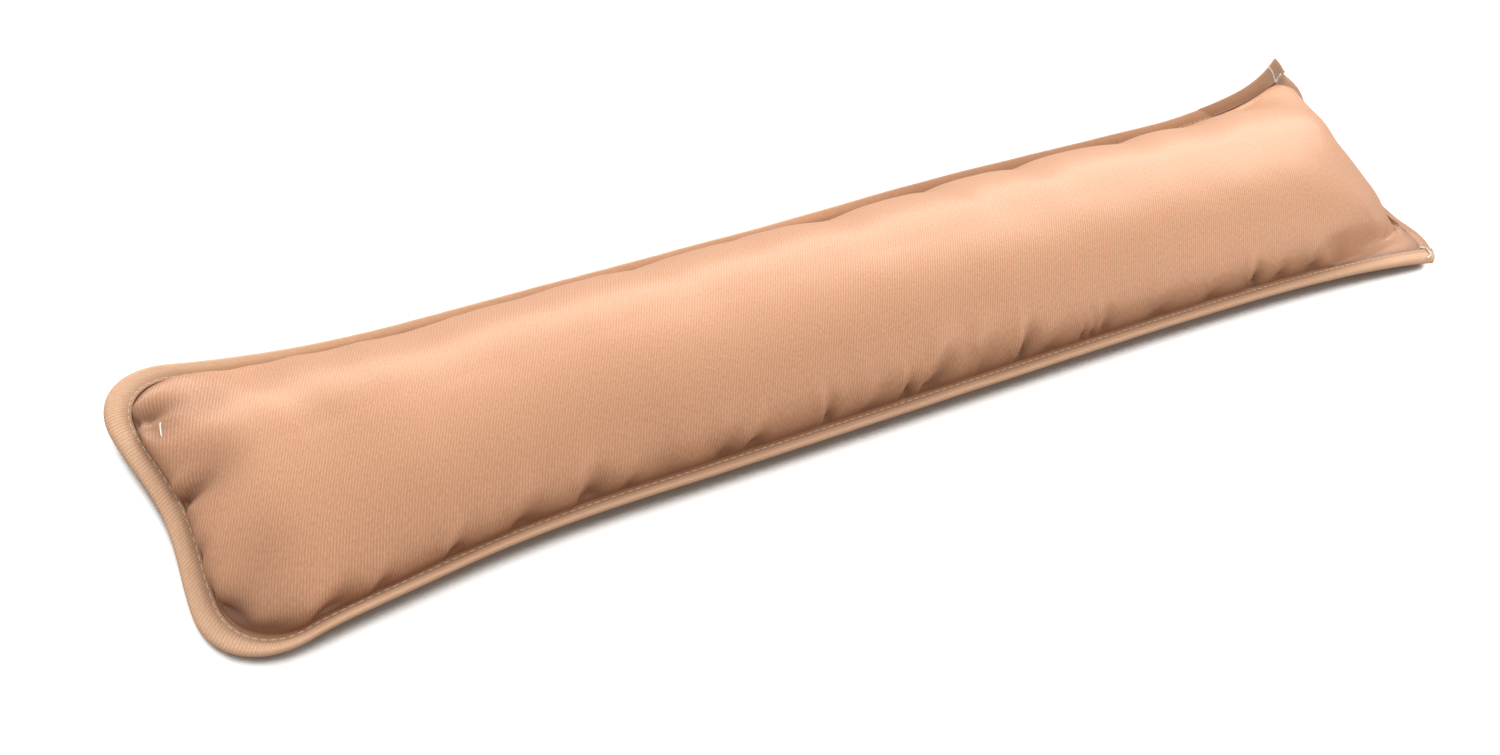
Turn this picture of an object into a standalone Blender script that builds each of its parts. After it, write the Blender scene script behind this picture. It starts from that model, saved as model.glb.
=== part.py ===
"""Draught excluder: a long filled cushion with a bound edge on three sides.

X runs along the length, from the bound end with its two rounded corners (-X) to the
sewn-up square end (+X). Y is the width and Z is up. The cushion lies on its back, with
the flat of its underside on z = 0 and the middle of its outline at the origin.
"""
import math

import bmesh
import bpy

# Driving dimensions, in metres
LENGTH = 0.800
WIDTH = 0.175
CORNER_RADIUS = 0.042
TIP_RADIUS = 0.002
TAPE_WIDTH = 0.0095
TAPE_WALL = 0.001
TAPE_FOLD = 0.0015
HEM_WIDTH = 0.009
EDGE_SETBACK = 0.0005
PANEL_EDGE = 0.0016
CLEARANCE = 0.0003

# How far the sides are drawn in between the corners, and how the corners stand out
NEAR_DRAW = 0.0112
FAR_DRAW = 0.0100
NEAR_DRAW_POWER = 4.2
FAR_DRAW_POWER = 6.5
BOUND_END_DRAW = 0.009
NEAR_CORNER_IN = 0.0040
OPEN_END_DRAW = 0.014
NEAR_TIP_BACK = 0.0117
HEM_WAVES = [
    # place across the open end (-1 near tip, 1 far tip), how far the hem stands out there, half length
    (-0.55, -0.0035, 0.15),
    (0.78, 0.0090, 0.22),
    (1.00, -0.0030, 0.09),
]
END_POWER = 8
CORNER_FLARES = {
    # corner of the plan (x side, y side): how far it stands out, over what length
    (-1, -1): (0.0100, 0.050),
    (-1, 1): (0.0148, 0.052),
    (1, -1): (-0.0013, 0.030),
    (1, 1): (0.0115, 0.030),
}
SIDE_WAVES = [
    # x, side of the cushion, how far the side stands out there (or in), half length
    (-0.310, -1, 0.0022, 0.040),
    (-0.200, -1, -0.0012, 0.050),
    (-0.270, 1, -0.0018, 0.060),
    (0.110, 1, 0.0027, 0.100),
    (0.290, 1, -0.0014, 0.050),
]

# Height of the seam above the surface that the cushion lies on
SEAM_NEAR = 0.016
SEAM_FAR = 0.008
SEAM_CORNERS = {(-1, -1): 0.0045, (-1, 1): 0.014, (1, -1): 0.008, (1, 1): 0.005}
SEAM_DROP_POWER = 6
TIP_CURL = 0.011
TIP_CURL_LENGTH = 0.025
EDGE_DROOP = {
    # side of the cushion: how steeply its edge hangs at the bound end, in the middle, at the open end
    -1: (-0.85, -0.28, 0.05),
    1: (0.00, -0.60, -0.75),
}
DROOP_POWER = 3
FOLD_EASE = 0.001

# The filling: how high the crown stands over the seam, and how deep the belly would hang
CROWN = [
    # x along the cushion, height over the seam
    (-0.345, 0.030),
    (-0.270, 0.037),
    (-0.130, 0.043),
    (0.020, 0.045),
    (0.200, 0.044),
    (0.300, 0.042),
    (0.345, 0.040),
]
CROWN_FULLNESS = 2.6
CROWN_STEEPNESS = 0.85
NEAR_STEEPER = 0.25
BOUND_END_STEEPER = 0.12
NEAR_BULGE = 0.0035
FAR_BULGE = 0.0030
BOUND_END_BULGE = 0.0035
BULGE_AT = 0.08
RIDGE_SHIFT = 0.006
BELLY = 0.026
BELLY_FULLNESS = 2.1
BOUND_END_RUN = 0.066
OPEN_END_RUN = 0.048

# Creases that run in from the seam across the top: place along the seam, side of the
# cushion, depth, half width, distance in to the deepest point, and slant towards +X
CREASES = [
    # x, side, depth, half_width, reach, slant
    (-0.350, -1, 0.0035, 0.013, 0.016, 0.3),
    (-0.302, -1, 0.0020, 0.011, 0.012, 0.2),
    (-0.242, -1, 0.0018, 0.012, 0.014, 0.3),
    (-0.194, -1, 0.0015, 0.011, 0.012, 0.0),
    (-0.113, -1, 0.0018, 0.014, 0.015, 0.4),
    (-0.042, -1, 0.0015, 0.013, 0.013, 0.2),
    (0.020, -1, 0.0020, 0.015, 0.018, 0.6),
    (0.066, -1, 0.0030, 0.011, 0.016, 0.3),
    (0.120, -1, 0.0016, 0.012, 0.013, 0.2),
    (0.236, -1, 0.0025, 0.012, 0.016, 0.4),
    (0.290, -1, 0.0020, 0.012, 0.014, -0.3),
    (0.325, -1, 0.0070, 0.030, 0.018, 2.0),
    (-0.330, 1, 0.0040, 0.013, 0.018, 0.2),
    (-0.242, 1, 0.0022, 0.020, 0.020, 0.0),
    (-0.111, 1, 0.0020, 0.017, 0.018, 0.1),
    (0.010, 1, 0.0026, 0.022, 0.020, 0.0),
    (0.077, 1, 0.0024, 0.017, 0.018, 0.2),
    (0.146, 1, 0.0024, 0.018, 0.018, 0.0),
    (0.228, 1, 0.0026, 0.020, 0.018, -0.1),
    (0.290, 1, 0.0030, 0.020, 0.018, -0.2),
    (0.345, 1, 0.0040, 0.025, 0.015, 1.5),
]
FILLED_HEIGHT = 0.014
# Dimples where the filling stops short of the seam
DIMPLES = [
    # x, y, depth, radius
    (-0.362, 0.052, 0.0050, 0.018),
    (-0.380, 0.041, 0.0050, 0.010),
    (-0.366, -0.050, 0.0040, 0.016),
    (-0.372, 0.004, 0.0025, 0.014),
    (0.370, -0.034, 0.0125, 0.028),
    (0.380, -0.058, 0.0035, 0.018),
]
EAR_START = 0.290
EAR_LENGTH = 0.090
EAR_WIDTH = 0.0135
EAR_CURVE = 2.5
EAR_SHOULDER = 0.014

# How finely the surfaces are divided
SIDE_STEPS = 84
SIDE_CROWDING = 0.7
BOUND_CORNER_STEPS = 8
BOUND_END_STEPS = 8
TIP_STEPS = 4
OPEN_END_STEPS = 12
FOLD_STEPS = 5
HEM_RINGS = 3
TOP_RINGS = [0.02, 0.05, 0.12, 0.22, 0.34, 0.48, 0.64, 0.82, 1.0]
BELLY_RINGS = [0.06, 0.15, 0.28, 0.44, 0.65, 1.0]

PANEL_COLOUR = (0.665, 0.376, 0.233, 1.0)
TAPE_COLOUR = (0.558, 0.318, 0.184, 1.0)


def ease(a):
    """Smooth step from 0 to 1."""
    a = min(max(a, 0.0), 1.0)
    return a * a * (3 - 2 * a)


def crown_height(x):
    """Height of the filling over the seam on the middle line, eased between the rows of CROWN."""
    if x <= CROWN[0][0]:
        return CROWN[0][1]
    for (x0, z0), (x1, z1) in zip(CROWN, CROWN[1:]):
        if x <= x1:
            return z0 + (z1 - z0) * ease((x - x0) / (x1 - x0))
    return CROWN[-1][1]


def side_fractions():
    """Places along a long side, 0 to 1, closer together towards both ends."""
    for i in range(SIDE_STEPS + 1):
        even = i / SIDE_STEPS
        crowded = 0.5 - 0.5 * math.cos(math.pi * even)
        yield even + (crowded - even) * SIDE_CROWDING


def arc(centre, radius, start, end, steps):
    """Inner points of an arc in the plan; the angles are in degrees."""
    for i in range(1, steps):
        a = math.radians(start + (end - start) * i / steps)
        yield (centre[0] + radius * math.cos(a), centre[1] + radius * math.sin(a))


def rounded(radius, inset, spread):
    """A corner's radius: its own at spread 0, half the cushion's width at spread 1."""
    return radius + (WIDTH / 2 - inset - radius) * spread


def near_half(inset, end_inset, spread):
    """A long side of the flat outline, from the open end's tip round to the middle of the bound end."""
    radius = rounded(CORNER_RADIUS - inset, inset, spread)
    centre = (-LENGTH / 2 + inset + radius, -WIDTH / 2 + inset + radius)
    tip_x = LENGTH / 2 - end_inset - rounded(TIP_RADIUS, inset, spread)
    points = [(tip_x + (centre[0] - tip_x) * f, centre[1] - radius) for f in side_fractions()]
    points += arc(centre, radius, 270, 180, BOUND_CORNER_STEPS)
    for i in range(BOUND_END_STEPS // 2 + 1):
        points.append((centre[0] - radius, centre[1] * (1 - 2 * i / BOUND_END_STEPS)))
    return points


def bound_path(inset, end_inset=EDGE_SETBACK, spread=0.0):
    """The bound edge of the flat outline, from one tip of the open end round to the other."""
    near = near_half(inset, end_inset, spread)
    return near + [(x, -y) for x, y in reversed(near[:-1])]


def outline(inset, end_inset, spread=0.0):
    """The whole flat outline: the bound edge and then the open end, back to the start."""
    points = bound_path(inset, end_inset, spread)
    tip_radius = rounded(TIP_RADIUS, inset, spread)
    end_x = LENGTH / 2 - end_inset
    corner_y = WIDTH / 2 - inset - tip_radius
    centre_x = end_x - tip_radius
    points += arc((centre_x, corner_y), tip_radius, 90, 0, TIP_STEPS)
    seam_y = min(corner_y * 0.99, WIDTH / 2 - TAPE_WIDTH - 2 * CLEARANCE)
    points.append((end_x, corner_y))
    for i in range(OPEN_END_STEPS - 1):
        points.append((end_x, seam_y * (1 - 2 * i / (OPEN_END_STEPS - 2))))
    points.append((end_x, -corner_y))
    points += arc((centre_x, -corner_y), tip_radius, 0, -90, TIP_STEPS)
    return points


def edge_droop(x, y):
    """How steeply the bound edge hangs there (below zero it turns up), how far it hangs, and the way out."""
    from_x = min(x + LENGTH / 2 - CORNER_RADIUS, 0.0)
    from_y = max(abs(y) - WIDTH / 2 + CORNER_RADIUS, 0.0)
    from_centre = max(math.hypot(from_x, from_y), 1e-6)
    way_out = (from_x / from_centre, math.copysign(from_y / from_centre, y))
    beyond = from_centre - CORNER_RADIUS + TAPE_WIDTH + 2 * CLEARANCE
    hanging = max(beyond, 0.0) if abs(beyond) > FOLD_EASE else (beyond + FOLD_EASE) ** 2 / (4 * FOLD_EASE)
    droops = EDGE_DROOP[1 if y > 0 else -1]
    droop = droops[1] + (droops[2 if x > 0 else 0] - droops[1]) * abs(2 * x / LENGTH) ** DROOP_POWER
    return droop * way_out[1] ** 2, hanging, way_out


def drawn_in(x, y):
    """Where a point of the flat outline lies once the cushion is filled and its sides pull in."""
    u = 2 * x / LENGTH
    v = 2 * y / WIDTH
    droop, hanging, way_out = edge_droop(x, y)
    shortened = hanging * (1 - 1 / math.hypot(1, droop))
    draw, power = (FAR_DRAW, FAR_DRAW_POWER) if y > 0 else (NEAR_DRAW, NEAR_DRAW_POWER)
    new_y = y - v * draw * (1 - abs(u) ** power)
    for (x_side, y_side), (flare, length) in CORNER_FLARES.items():
        if y * y_side > 0:
            new_y += v * flare * math.exp(-(LENGTH / 2 - x_side * x) / length)
    for wave_x, side, out, half_length in SIDE_WAVES:
        if y * side > 0:
            new_y += v * out * math.exp(-((x - wave_x) / half_length) ** 2)
    new_y -= shortened * way_out[1]
    across = (0.5 + 0.5 * math.cos(math.pi * min(abs(v), 1.0))) ** 2
    new_x = x - shortened * way_out[0]
    if u < 0:
        new_x += abs(u) ** END_POWER * (BOUND_END_DRAW * across + NEAR_CORNER_IN * max(-v, 0.0) ** 3)
    else:
        back = OPEN_END_DRAW * across + NEAR_TIP_BACK * min(v, 0.0) ** 8
        for wave_v, out, half_length in HEM_WAVES:
            back -= out * math.exp(-((v - wave_v) / half_length) ** 2)
        new_x -= u ** END_POWER * back
    return new_x, new_y


def seam_height(x, y):
    """Height of the seam, carried across the cushion from its two long sides."""
    u = 2 * x / LENGTH
    far = 0.5 + y / WIDTH
    end = 1 if x > 0 else -1
    middle = SEAM_NEAR + (SEAM_FAR - SEAM_NEAR) * far
    corner = SEAM_CORNERS[(end, -1)] + (SEAM_CORNERS[(end, 1)] - SEAM_CORNERS[(end, -1)]) * far
    height = middle + (corner - middle) * abs(u) ** SEAM_DROP_POWER
    curl = TIP_CURL * math.exp(-(LENGTH / 2 - x) / TIP_CURL_LENGTH)
    droop, hanging, _ = edge_droop(x, y)
    return height + curl * max(2 * y / WIDTH, 0.0) - hanging * droop / math.hypot(1, droop)


def plan_centre():
    """Middle of the drawn-in outline's box, which becomes the origin."""
    points = [drawn_in(x, y) for x, y in bound_path(0.0) + [(LENGTH / 2, WIDTH / 2)]]
    xs, ys = zip(*points)
    return (min(xs) + max(xs)) / 2, (min(ys) + max(ys)) / 2


CENTRE = plan_centre()


def placed(x, y, z):
    """A point over the flat outline, moved to where it lies on the filled cushion."""
    new_x, new_y = drawn_in(x, y)
    return new_x - CENTRE[0], new_y - CENTRE[1], z


def towards_ridge(t):
    """A ring between the flat hem's inner edge (t = 0) and the ridge (t = 1): x, y, and the way out to the edge."""
    inset = TAPE_WIDTH + 2 * CLEARANCE
    ring = outline(inset, HEM_WIDTH, math.sqrt(t))
    ridge_start = -LENGTH / 2 + inset + BOUND_END_RUN
    ridge_end = LENGTH / 2 - HEM_WIDTH - OPEN_END_RUN
    for x, y in ring:
        ridge_x = min(max(x, ridge_start), ridge_end)
        away = math.hypot(x - ridge_x, y - RIDGE_SHIFT)
        way_out = ((x - ridge_x) / away, (y - RIDGE_SHIFT) / away)
        yield x + (ridge_x - x) * t, y + (RIDGE_SHIFT - y) * t, way_out


def rise(x, way_out, t):
    """Height of the crown over the seam, which climbs most steeply on the near side."""
    steepness = CROWN_STEEPNESS - NEAR_STEEPER * ease(-way_out[1]) - BOUND_END_STEEPER * ease(-way_out[0])
    return crown_height(x) * (1 - (1 - t) ** CROWN_FULLNESS) ** steepness


def bulge(way_out, t):
    """How far the filled panel swells out over the seam just above it."""
    most = NEAR_BULGE * ease(-way_out[1]) + FAR_BULGE * ease(way_out[1]) + BOUND_END_BULGE * ease(-way_out[0])
    return most * t / BULGE_AT * math.exp(1 - t / BULGE_AT)


def ear(x, y):
    """How far the crown has risen clear of the flat ear at the near tip of the open end, 0 to 1."""
    valley = -WIDTH / 2 + TAPE_WIDTH
    valley += EAR_WIDTH * max((x - EAR_START) / EAR_LENGTH, 0.0) ** EAR_CURVE
    clear = ease((y - valley) / EAR_SHOULDER)
    return 1 + (clear - 1) * ease((x - EAR_START) / 0.03)


def sunk(x, y):
    """How far creases and dimples sink the top at a point of the flat outline."""
    depth = 0.0
    from_seam = WIDTH / 2 - TAPE_WIDTH - abs(y)
    for crease_x, side, deep, half_width, reach, slant in CREASES:
        if side * y > 0:
            along = (x - crease_x - slant * from_seam) / half_width
            run = from_seam / reach
            depth += deep * run * math.exp(1 - run - along * along)
    for dimple_x, dimple_y, deep, radius in DIMPLES:
        away = math.hypot(x - dimple_x, y - dimple_y) / radius
        depth += deep * math.exp(-away * away)
    return depth


def top_ring(t):
    """One ring of the crowned top."""
    for x, y, way_out in towards_ridge(t):
        filled = rise(x, way_out, t) * ear(x, y)
        z = seam_height(x, y) + PANEL_EDGE / 2 + filled - sunk(x, y) * ease(filled / FILLED_HEIGHT)
        swell = bulge(way_out, t) * ear(x, y)
        new_x, new_y, new_z = placed(x, y, z)
        yield new_x + way_out[0] * swell, new_y + way_out[1] * swell, new_z


def belly_ring(t):
    """One ring of the underside, pressed flat where it would hang below the surface."""
    hang = BELLY * (1 - (1 - t) ** BELLY_FULLNESS)
    for x, y, _ in towards_ridge(t):
        z = seam_height(x, y) - PANEL_EDGE / 2 - hang
        yield placed(x, y, max(z, 0.0))


def over_seam(x, y, height):
    """A point at a height over the seam, measured square to the edge where that hangs or turns up."""
    return placed(x, y, seam_height(x, y) + height * math.hypot(1, edge_droop(x, y)[0]))


def hem_ring(inset, end_inset, side):
    """One ring of the flat edge where the two panels lie together; side is 1 above, -1 below."""
    for x, y in outline(inset, end_inset):
        yield over_seam(x, y, side * PANEL_EDGE / 2)


def wrap_grid(rows, closed_across):
    """A grid of faces wrapped over rows of points, each row a ring or a cross-section."""
    bm = bmesh.new()
    across = len(rows[0]) if closed_across else len(rows[0]) - 1
    grid = bmesh.ops.create_grid(bm, x_segments=across, y_segments=len(rows) - 1, size=1.0)
    for vert in grid["verts"]:
        i = round((vert.co.x + 1) / 2 * across)
        j = round((vert.co.y + 1) / 2 * (len(rows) - 1))
        vert.co = rows[j][i % len(rows[0])]
    bmesh.ops.remove_doubles(bm, verts=bm.verts, dist=1e-6)
    return bm


def satin(name, colour, roughness):
    """Woven polyester satin."""
    material = bpy.data.materials.new(name)
    material.use_nodes = True
    shader = material.node_tree.nodes["Principled BSDF"]
    shader.inputs["Base Color"].default_value = colour
    shader.inputs["Roughness"].default_value = roughness
    shader.inputs["Metallic"].default_value = 0.0
    return material


def add_object(name, bm, material):
    """Turn a closed bmesh into a smooth-shaded object of its own."""
    bmesh.ops.triangulate(bm, faces=bm.faces)
    bmesh.ops.recalc_face_normals(bm, faces=bm.faces)
    mesh = bpy.data.meshes.new(name)
    bm.to_mesh(mesh)
    bm.free()
    mesh.materials.append(material)
    mesh.shade_smooth()
    obj = bpy.data.objects.new(name, mesh)
    bpy.context.collection.objects.link(obj)
    return obj


def filled_cushion():
    """Both panels and the filling as one solid, from the middle of the belly round to the ridge."""
    edge = TAPE_WALL + CLEARANCE
    inner = TAPE_WIDTH + 2 * CLEARANCE
    rows = [list(belly_ring(t)) for t in reversed(BELLY_RINGS)]
    insets = []
    for i in range(HEM_RINGS + 1):
        out = i / HEM_RINGS
        insets.append((inner + (edge - inner) * out, HEM_WIDTH + (EDGE_SETBACK - HEM_WIDTH) * out))
    rows += [list(hem_ring(inset, end_inset, -1)) for inset, end_inset in insets]
    rows += [list(hem_ring(inset, end_inset, 1)) for inset, end_inset in reversed(insets)]
    rows += [list(top_ring(t)) for t in TOP_RINGS]
    bm = wrap_grid(rows, closed_across=True)
    add_object("filled_cushion", bm, satin("panel_satin", PANEL_COLOUR, 0.55))


def tape_section():
    """The folded tape in section: inset from the outer edge, height over the seam."""
    inside = PANEL_EDGE / 2 + CLEARANCE
    outside = inside + TAPE_WALL
    middle = TAPE_WIDTH / 2
    section = [(TAPE_WIDTH, outside), (middle, outside)]
    for i in range(FOLD_STEPS + 1):
        a = math.pi * (0.5 - i / FOLD_STEPS)
        section.append((TAPE_FOLD * (1 - math.cos(a)), outside * math.sin(a)))
    section += [(middle, -outside), (TAPE_WIDTH, -outside), (TAPE_WIDTH, -inside), (middle, -inside)]
    section += [(TAPE_WALL, -inside), (TAPE_WALL, inside), (middle, inside), (TAPE_WIDTH, inside)]
    return section


def edge_binding():
    """The tape folded over the cushion's edge, along both long sides and round the bound end."""
    rows = []
    for inset, z in tape_section():
        path = bound_path(inset)
        path = [(LENGTH / 2, path[0][1])] + path + [(LENGTH / 2, path[-1][1])]
        rows.append([over_seam(x, y, z) for x, y in path])
    bm = wrap_grid(rows + rows[:1], closed_across=False)
    ends = [edge for edge in bm.edges if edge.is_boundary]
    bmesh.ops.holes_fill(bm, edges=ends, sides=0)
    add_object("edge_binding", bm, satin("tape_satin", TAPE_COLOUR, 0.5))


for old in list(bpy.data.objects):
    bpy.data.objects.remove(old, do_unlink=True)
filled_cushion()
edge_binding()
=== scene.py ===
"""The draught excluder dressed for the camera: satin panels, folded tape and all the sewing."""
import math

import bmesh
import bpy
from mathutils import Matrix, Vector, noise


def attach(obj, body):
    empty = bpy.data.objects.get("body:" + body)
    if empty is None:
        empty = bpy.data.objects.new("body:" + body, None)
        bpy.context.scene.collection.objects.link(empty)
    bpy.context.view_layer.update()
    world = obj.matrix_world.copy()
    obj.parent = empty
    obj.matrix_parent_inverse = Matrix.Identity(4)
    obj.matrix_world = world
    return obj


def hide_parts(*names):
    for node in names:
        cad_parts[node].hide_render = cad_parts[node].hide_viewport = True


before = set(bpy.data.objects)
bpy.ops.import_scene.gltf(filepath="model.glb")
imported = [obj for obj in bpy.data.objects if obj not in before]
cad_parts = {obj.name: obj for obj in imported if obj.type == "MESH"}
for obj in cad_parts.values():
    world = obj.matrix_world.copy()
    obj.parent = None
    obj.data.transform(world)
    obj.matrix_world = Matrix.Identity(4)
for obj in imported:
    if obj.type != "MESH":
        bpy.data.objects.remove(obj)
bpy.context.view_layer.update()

# The filled cushion. Two long panels of polyester satin, sewn together round three sides and
# filled through the open end, which is then turned in and topstitched flat. The filling swells
# the panels into a long crown, draws the sides in and leaves the four corners standing out.
LENGTH = 0.800
WIDTH = 0.175
CORNER_RADIUS = 0.042
TIP_RADIUS = 0.002
TAPE_WIDTH = 0.0095
HEM_WIDTH = 0.009
EDGE_SETBACK = 0.0005
PANEL_EDGE = 0.0016
CLEARANCE = 0.0003
TAPE_WALL = 0.001
SEAM_INSET = TAPE_WIDTH + 2 * CLEARANCE

# How far the filling draws each side and end in, and how far that reaches along it.
NEAR_DRAW = 0.0112
FAR_DRAW = 0.0100
NEAR_DRAW_POWER = 4.2
FAR_DRAW_POWER = 6.5
BOUND_END_DRAW = 0.009
NEAR_CORNER_IN = 0.0120
NEAR_CORNER_POWER = 3
END_TAPE_WIDER = 0.0030
END_TAPE_FADE = 0.008
OPEN_END_DRAW = 0.014
NEAR_TIP_BACK = 0.0117
NEAR_TIP_POWER = 8
HEM_WAVES = [
    # place across the open end (-1 near tip, 1 far tip), how far the hem stands out, half length
    (-0.55, -0.0035, 0.15),
    (0.78, 0.0090, 0.22),
    (1.00, -0.0030, 0.09),
]
END_POWER = 8
CORNER_FLARES = {
    # corner of the plan (x side, y side): how far it stands out, over what length
    (-1, -1): (0.0165, 0.050),
    (-1, 1): (0.0148, 0.052),
    (1, -1): (-0.0013, 0.030),
    (1, 1): (0.0115, 0.030),
}
SIDE_WAVES = [
    # x, side of the cushion, how far the side stands out there (or in), half length
    (-0.310, -1, 0.0022, 0.040),
    (-0.200, -1, -0.0012, 0.050),
    (-0.270, 1, -0.0018, 0.060),
    (0.110, 1, 0.0027, 0.100),
    (0.290, 1, -0.0014, 0.050),
]

# How high the seam lies over the surface, and how its bound edge hangs or turns up from it.
SEAM_NEAR = 0.016
SEAM_FAR = 0.008
SEAM_CORNERS = {
    # corner of the plan (x side, y side): height of the seam there
    (-1, -1): 0.0045,
    (-1, 1): 0.014,
    (1, -1): 0.008,
    (1, 1): 0.005,
}
SEAM_DROP_POWER = 6
TIP_CURL = 0.011
TIP_CURL_LENGTH = 0.025
EDGE_DROOP = {
    # side of the cushion: how steeply its edge hangs at the bound end, the middle, the open end
    -1: (-0.85, -0.28, 0.05),
    1: (0.00, -0.60, -0.75),
}
DROOP_POWER = 3
FOLD_EASE = 0.001

# How the filling swells the top into a crown, and the underside into a belly.
CROWN = [
    # x along the cushion, height over the seam
    (-0.345, 0.030),
    (-0.270, 0.037),
    (-0.130, 0.043),
    (0.020, 0.045),
    (0.200, 0.044),
    (0.300, 0.042),
    (0.345, 0.040),
]
CROWN_FULLNESS = 2.6
CROWN_STEEPNESS = 0.85
NEAR_STEEPER = 0.25
BOUND_END_STEEPER = 0.12
OPEN_END_STEEPER = 0.32
NEAR_BULGE = 0.0035
FAR_BULGE = 0.0030
FAR_BULGE_LOST = 0.8
FAR_BULGE_FADE_FROM = -0.05
FAR_BULGE_FADE = 0.08
OPEN_END_BULGE = 0.0030
BOUND_END_BULGE = 0.0035
BULGE_AT = 0.08
RIDGE_SHIFT = 0.006
BELLY = 0.026
BELLY_FULLNESS = 2.1
BELLY_FADE = 0.1
BOUND_END_RUN = 0.066
OPEN_END_RUN = 0.048
SLOPE_STEP = 0.1

# The creases, each listed one by one, and the painted shade that darkens the cloth in them, along
# the seam and on the flat edge.
PLEATS = [
    # where each starts at the seam: x, y; where it dies out: to_x, to_y; depth, half width,
    # and the height of the fold that stands on its left
    (-0.3500, -0.0775, -0.3240, -0.0715, 0.0048, 0.0038, 0.0016),
    (-0.3190, -0.0775, -0.3060, -0.0730, 0.0033, 0.0030, 0.0010),
    (-0.2810, -0.0775, -0.2670, -0.0730, 0.0045, 0.0030, 0.0016),
    (-0.2440, -0.0775, -0.2240, -0.0715, 0.0036, 0.0050, 0.0013),
    (-0.2070, -0.0775, -0.1880, -0.0680, 0.0045, 0.0060, 0.0016),
    (-0.1840, -0.0775, -0.1720, -0.0745, 0.0027, 0.0030, 0.0010),
    (-0.1300, -0.0775, -0.1140, -0.0735, 0.0027, 0.0050, 0.0008),
    (-0.1130, -0.0775, -0.0970, -0.0735, 0.0045, 0.0032, 0.0016),
    (-0.0650, -0.0775, -0.0580, -0.0660, 0.0039, 0.0040, 0.0010),
    (-0.0420, -0.0775, -0.0250, -0.0745, 0.0021, 0.0030, 0.0007),
    (-0.0160, -0.0775, -0.0070, -0.0710, 0.0054, 0.0032, 0.0018),
    (-0.0040, -0.0775, 0.0010, -0.0740, 0.0036, 0.0025, 0.0010),
    (0.0010, -0.0760, 0.0280, -0.0640, 0.0030, 0.0042, 0.0021),
    (0.0360, -0.0750, 0.0580, -0.0640, 0.0015, 0.0060, 0.0013),
    (0.0610, -0.0775, 0.0760, -0.0640, 0.0054, 0.0032, 0.0026),
    (0.0800, -0.0775, 0.0990, -0.0735, 0.0024, 0.0035, 0.0008),
    (0.1070, -0.0775, 0.1110, -0.0720, 0.0036, 0.0026, 0.0010),
    (0.1140, -0.0775, 0.1180, -0.0735, 0.0039, 0.0026, 0.0013),
    (0.1230, -0.0775, 0.1320, -0.0670, 0.0030, 0.0050, 0.0008),
    (0.1600, -0.0775, 0.1820, -0.0735, 0.0024, 0.0040, 0.0008),
    (0.2030, -0.0775, 0.2220, -0.0740, 0.0024, 0.0040, 0.0008),
    (0.2360, -0.0775, 0.2490, -0.0690, 0.0060, 0.0038, 0.0023),
    (0.2580, -0.0775, 0.2690, -0.0735, 0.0036, 0.0035, 0.0010),
    (0.2850, -0.0775, 0.3030, -0.0730, 0.0039, 0.0035, 0.0010),
    (-0.3895, 0.0515, -0.3790, 0.0460, 0.0055, 0.0038, 0.0013),
    (-0.3790, 0.0500, -0.3580, 0.0570, 0.0045, 0.0050, 0.0010),
    (-0.3895, 0.0418, -0.3860, 0.0415, 0.0033, 0.0020, 0.0008),
    (-0.3890, 0.0030, -0.3660, 0.0020, 0.0052, 0.0042, 0.0018),
    (-0.3890, -0.0240, -0.3790, -0.0230, 0.0021, 0.0040, 0.0005),
    (-0.3895, -0.0430, -0.3840, -0.0380, 0.0033, 0.0030, 0.0010),
    (-0.3890, -0.0520, -0.3700, -0.0640, 0.0070, 0.0075, 0.0010),
    (-0.3830, -0.0670, -0.3520, -0.0765, 0.0030, 0.0040, 0.0000),
]
PLEAT_HEAD = 0.003
PLEAT_FADE = 0.03
PLEAT_REACH = 0.06
PLEAT_START_WIDTH = 0.7
PLEAT_WIDENING = 0.6
FOLD_BESIDE = 1.9
FULL_SHADE_DEPTH = 0.0070
SEAM_SHADE = 0.016
NEAR_SHADE = 0.030
BOUND_END_SHADE = 0.040
SHADE_LENGTH = 0.017
SHADE_PATCHINESS = 0.9
HEM_SHADE = 0.3
FAR_HEM_SHADE = 0.4
FAR_HEM_FADE = 0.05
HOLLOWS = [
    # hollows on the shoulders: x, side, depth, half width, distance from the seam, slant
    (-0.330, 1, 0.0040, 0.012, 0.014, 0.2),
    (-0.286, 1, 0.0016, 0.010, 0.014, 0.0),
    (-0.242, 1, 0.0026, 0.016, 0.014, 0.0),
    (-0.180, 1, 0.0010, 0.012, 0.014, 0.1),
    (-0.111, 1, 0.0026, 0.013, 0.013, 0.1),
    (-0.050, 1, 0.0010, 0.010, 0.014, 0.0),
    (0.010, 1, 0.0055, 0.016, 0.013, 0.0),
    (0.077, 1, 0.0055, 0.012, 0.012, 0.2),
    (0.146, 1, 0.0060, 0.013, 0.012, 0.0),
    (0.228, 1, 0.0050, 0.017, 0.012, -0.1),
    (0.290, 1, 0.0050, 0.020, 0.012, -0.2),
    (0.340, 1, 0.0070, 0.028, 0.015, 0.8),
    (0.325, -1, 0.0070, 0.026, 0.018, 2.0),
]
FILLED_HEIGHT = 0.014
DIMPLES = [
    # x, y, depth, radius, and how much painted shade darkens the panel round it
    (-0.362, 0.052, 0.0050, 0.018, 0.22),
    (-0.380, 0.041, 0.0050, 0.010, 0.35),
    (-0.366, -0.050, 0.0040, 0.016, 0.18),
    (-0.372, 0.004, 0.0025, 0.014, 0.30),
    (0.370, -0.038, 0.0108, 0.027, 0.06),
    (0.380, -0.058, 0.0035, 0.018, 0.10),
]
EAR_START = 0.290
EAR_FADE = 0.03
EAR_LENGTH = 0.090
EAR_WIDTH = 0.0135
EAR_CURVE = 2.5
EAR_SHOULDER = 0.014
SOFT_WAVES = [
    # height of the slow unevenness of the filling, and its length
    (0.0008, 0.070),
    (0.0002, 0.028),
]
SEAM_GATHER = 0.0007
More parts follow.
